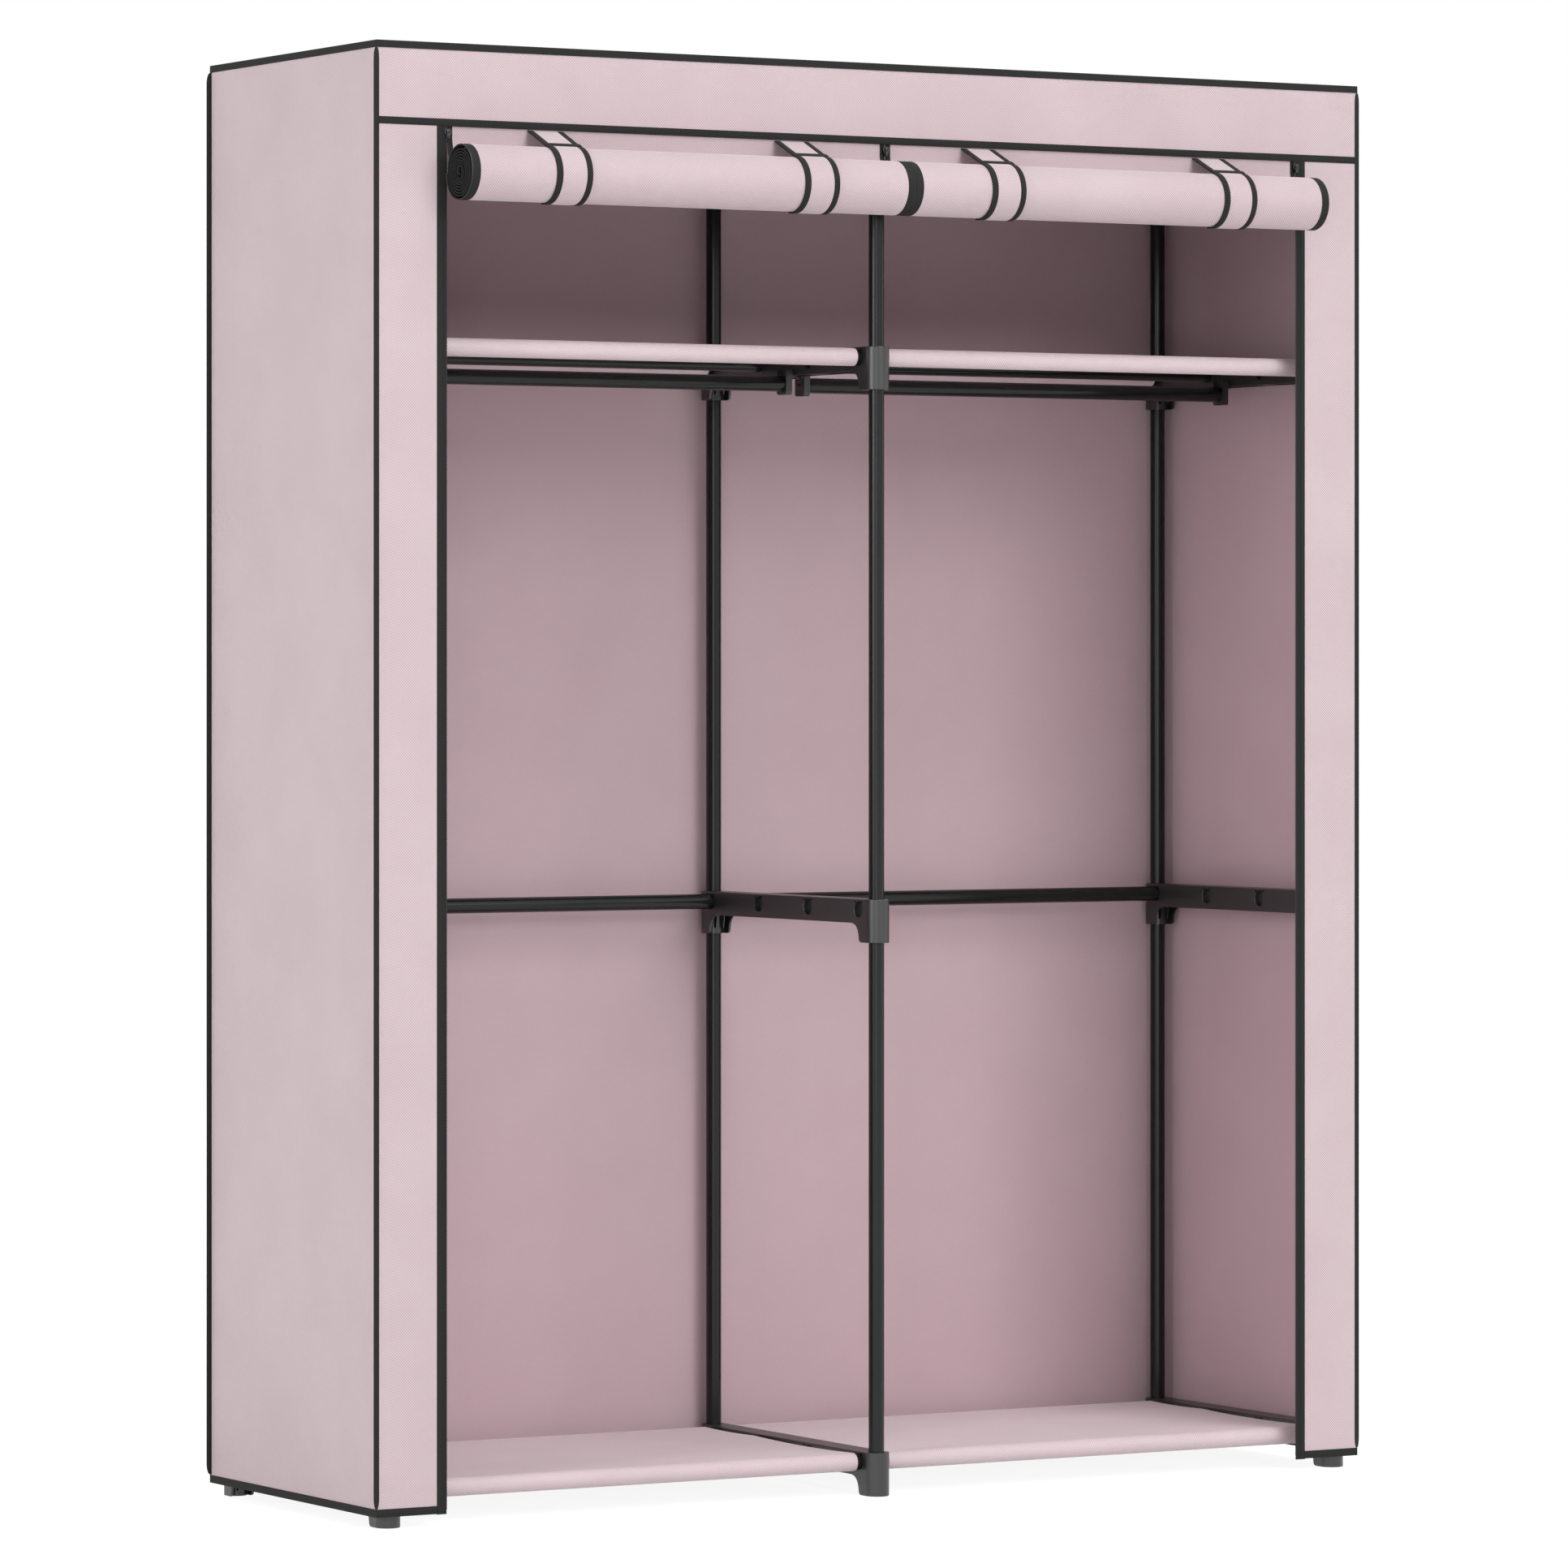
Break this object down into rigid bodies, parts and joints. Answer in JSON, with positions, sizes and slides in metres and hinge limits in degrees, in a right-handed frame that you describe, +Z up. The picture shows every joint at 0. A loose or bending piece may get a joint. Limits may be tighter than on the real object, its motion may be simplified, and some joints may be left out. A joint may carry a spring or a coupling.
{
  "type": "portable fabric wardrobe",
  "caption": "Portable wardrobe with a sewn cloth cover over a plug-together steel tube frame, cloth shelves and a hanging rod in each bay, and zipped doors rolled up in straps.",
  "frame": {"origin": "on the floor, under the middle of the bounding box, which the strapped door rolls extend in front of the cover", "axes": "+Z up, the doors face -Y, +X to the right seen from the front"},
  "size_m": [1.4, 0.5022, 1.74],
  "materials": {
    "pink_cloth": "matt pink non-woven cloth with a fine pressed weave pattern, bound with dark grey tape",
    "coated_steel": "dark grey powder coat, satin",
    "moulded_plastic": "dark grey moulded plastic, fine matt texture",
    "zip_metal": "black enamelled zip slider"
  },
  "bodies": {
    "frame_and_cover": {"bracket_left_bottom": "moulded_plastic", "bracket_left_middle": "moulded_plastic", "bracket_left_shelf": "moulded_plastic", "bracket_left_top": "moulded_plastic", "bracket_centre_bottom": "moulded_plastic", "bracket_centre_middle": "moulded_plastic", "bracket_centre_shelf": "moulded_plastic", "bracket_centre_top": "moulded_plastic", "bracket_right_bottom": "moulded_plastic", "bracket_right_middle": "moulded_plastic", "bracket_right_shelf": "moulded_plastic", "bracket_right_top": "moulded_plastic", "post_left_front": "coated_steel", "post_left_rear": "coated_steel", "post_centre_front": "coated_steel", "post_centre_rear": "coated_steel", "post_right_front": "coated_steel", "post_right_rear": "coated_steel", "cross_tube_left_bottom_front": "coated_steel", "cross_tube_left_bottom_support": "coated_steel", "cross_tube_left_bottom_rear": "coated_steel", "cross_tube_left_middle_rear": "coated_steel", "cross_tube_left_shelf_front": "coated_steel", "cross_tube_left_shelf_support": "coated_steel", "cross_tube_left_shelf_rear": "coated_steel", "cross_tube_left_top_front": "coated_steel", "cross_tube_left_top_rear": "coated_steel", "cross_tube_right_bottom_front": "coated_steel", "cross_tube_right_bottom_support": "coated_steel", "cross_tube_right_bottom_rear": "coated_steel", "cross_tube_right_middle_rear": "coated_steel", "cross_tube_right_shelf_front": "coated_steel", "cross_tube_right_shelf_support": "coated_steel", "cross_tube_right_shelf_rear": "coated_steel", "cross_tube_right_top_front": "coated_steel", "cross_tube_right_top_rear": "coated_steel", "hanging_rod_left": "coated_steel", "hanging_rod_right": "coated_steel", "rod_hook_left_bay_left": "moulded_plastic", "rod_hook_left_bay_right": "moulded_plastic", "rod_hook_right_bay_left": "moulded_plastic", "rod_hook_right_bay_right": "moulded_plastic", "shelf_cloth_left_lower": "pink_cloth", "shelf_cloth_left_upper": "pink_cloth", "shelf_cloth_right_lower": "pink_cloth", "shelf_cloth_right_upper": "pink_cloth", "cover_sides_and_back": "pink_cloth", "cover_top": "pink_cloth", "cover_front": "pink_cloth", "door_hanging_left": "pink_cloth", "door_hanging_right": "pink_cloth"},
    "left_door": {"door_roll_left": "pink_cloth"},
    "right_door": {"door_roll_right": "pink_cloth"},
    "left_outer_strap": {"roll_strap_left_outer": "pink_cloth"},
    "left_inner_strap": {"roll_strap_left_inner": "pink_cloth"},
    "right_inner_strap": {"roll_strap_right_inner": "pink_cloth"},
    "right_outer_strap": {"roll_strap_right_outer": "pink_cloth"},
    "left_slider": {"zip_slider_left": "zip_metal"},
    "centre_slider": {"zip_slider_centre": "zip_metal"},
    "right_slider": {"zip_slider_right": "zip_metal"}
  },
  "joints": [
    {"name": "left_door_drop", "type": "slide", "parent": "frame_and_cover", "child": "left_door", "axis": [0, 0, -1], "range_m": [0, 1.53], "deforming": ["door_hanging_left"]},
    {"name": "right_door_drop", "type": "slide", "parent": "frame_and_cover", "child": "right_door", "axis": [0, 0, -1], "range_m": [0, 1.53], "deforming": ["door_hanging_right"]},
    {"name": "left_outer_strap_swing", "type": "hinge", "parent": "frame_and_cover", "child": "left_outer_strap", "pos_m": [-0.47385, -0.1783, 1.6409], "axis": [-1, 0, 0], "range_deg": [0, 90]},
    {"name": "left_inner_strap_swing", "type": "hinge", "parent": "frame_and_cover", "child": "left_inner_strap", "pos_m": [-0.13304, -0.1783, 1.6409], "axis": [-1, 0, 0], "range_deg": [0, 90]},
    {"name": "right_inner_strap_swing", "type": "hinge", "parent": "frame_and_cover", "child": "right_inner_strap", "pos_m": [0.13304, -0.1783, 1.6409], "axis": [-1, 0, 0], "range_deg": [0, 90]},
    {"name": "right_outer_strap_swing", "type": "hinge", "parent": "frame_and_cover", "child": "right_outer_strap", "pos_m": [0.47385, -0.1783, 1.6409], "axis": [-1, 0, 0], "range_deg": [0, 90]},
    {"name": "left_slider_run", "type": "slide", "parent": "frame_and_cover", "child": "left_slider", "axis": [0, 0, -1], "range_m": [0, 1.6]},
    {"name": "centre_slider_run", "type": "slide", "parent": "frame_and_cover", "child": "centre_slider", "axis": [0, 0, -1], "range_m": [0, 1.6]},
    {"name": "right_slider_run", "type": "slide", "parent": "frame_and_cover", "child": "right_slider", "axis": [0, 0, -1], "range_m": [0, 1.6]}
  ],
  "couplings": [
    {"joint": "left_outer_strap_swing", "follows": "left_door_drop", "rad_per_m": 0.97},
    {"joint": "left_inner_strap_swing", "follows": "left_door_drop", "rad_per_m": 0.97},
    {"joint": "right_inner_strap_swing", "follows": "right_door_drop", "rad_per_m": 0.97},
    {"joint": "right_outer_strap_swing", "follows": "right_door_drop", "rad_per_m": 0.97}
  ]
}
